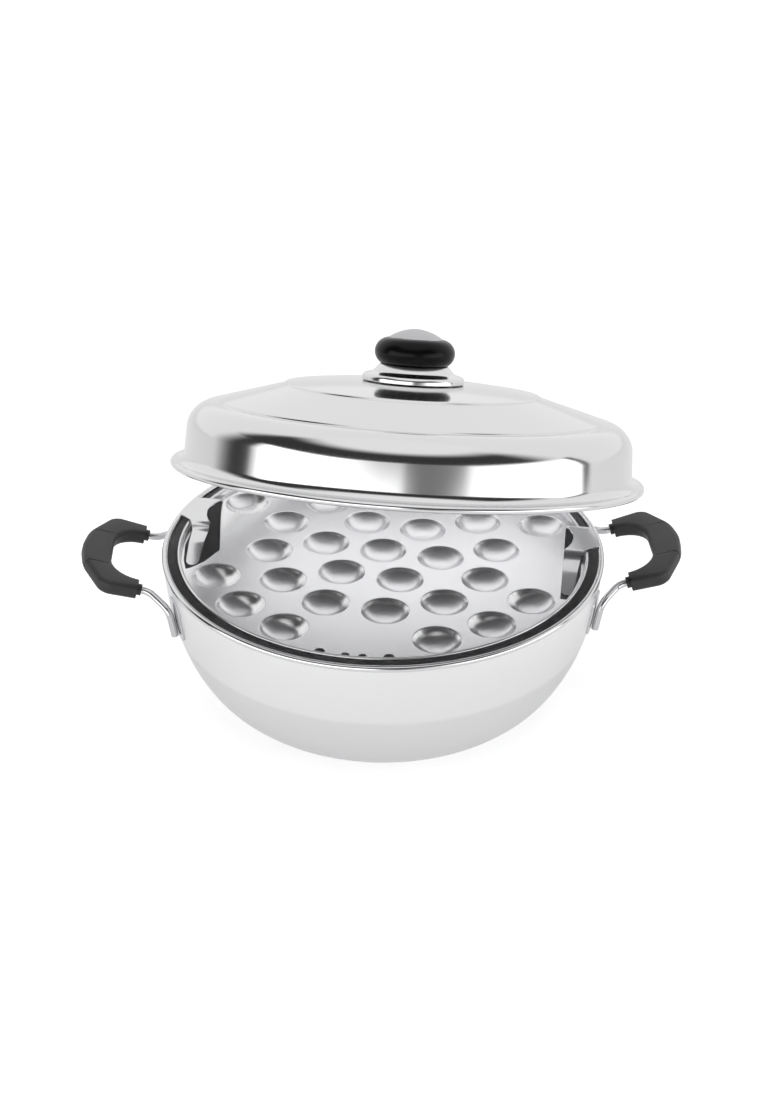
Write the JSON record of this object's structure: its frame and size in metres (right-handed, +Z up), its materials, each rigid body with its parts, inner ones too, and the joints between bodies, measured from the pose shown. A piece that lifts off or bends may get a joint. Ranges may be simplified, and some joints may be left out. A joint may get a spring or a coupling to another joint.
{
  "type": "idli steamer",
  "caption": "Round-bottomed steel steamer pot with side grips, a lift-out tray of small pressed cups and a domed lid with a round knob, tipped back on the rim.",
  "frame": {"origin": "middle of the pot's flat base, on the surface it stands on", "axes": "+Z up, +X towards the right-hand grip, +Y to the back, where the lid is tipped"},
  "size_m": [0.408, 0.3047, 0.2549],
  "materials": {
    "spun_steel": "satin",
    "pressed_steel": "satin",
    "polished_steel": "polished",
    "brushed_cap_steel": "brushed",
    "drawn_steel": "bright",
    "black_bakelite": "matte",
    "turned_brass": "turned"
  },
  "bodies": {
    "pot": {"pot_bowl": "spun_steel", "right_grip": "black_bakelite", "right_foot_plate_a": "drawn_steel", "right_foot_plate_b": "drawn_steel", "right_rod_a": "drawn_steel", "right_rod_b": "drawn_steel", "right_ferrule_a": "black_bakelite", "right_ferrule_b": "black_bakelite", "left_grip": "black_bakelite", "left_foot_plate_a": "drawn_steel", "left_foot_plate_b": "drawn_steel", "left_rod_a": "drawn_steel", "left_rod_b": "drawn_steel", "left_ferrule_a": "black_bakelite", "left_ferrule_b": "black_bakelite"},
    "tray": {"cup_tray": "pressed_steel", "right_tray_clip": "pressed_steel", "left_tray_clip": "pressed_steel"},
    "lid": {"lid_shell": "polished_steel", "knob_collar": "polished_steel", "knob_body": "black_bakelite", "knob_cap": "brushed_cap_steel", "knob_insert": "turned_brass", "knob_washer": "drawn_steel", "knob_screw": "drawn_steel"}
  },
  "joints": [
    {"name": "tray_lift", "type": "slide", "parent": "pot", "child": "tray", "axis": [0, 0, 1], "range_m": [0, 0.015]},
    {"name": "lid_tip", "type": "hinge", "parent": "pot", "child": "lid", "pos_m": [0.03225, 0.16229, 0.11109], "axis": [-0.9526, 0.1833, 0.2426], "range_deg": [-20.66, 45]}
  ]
}
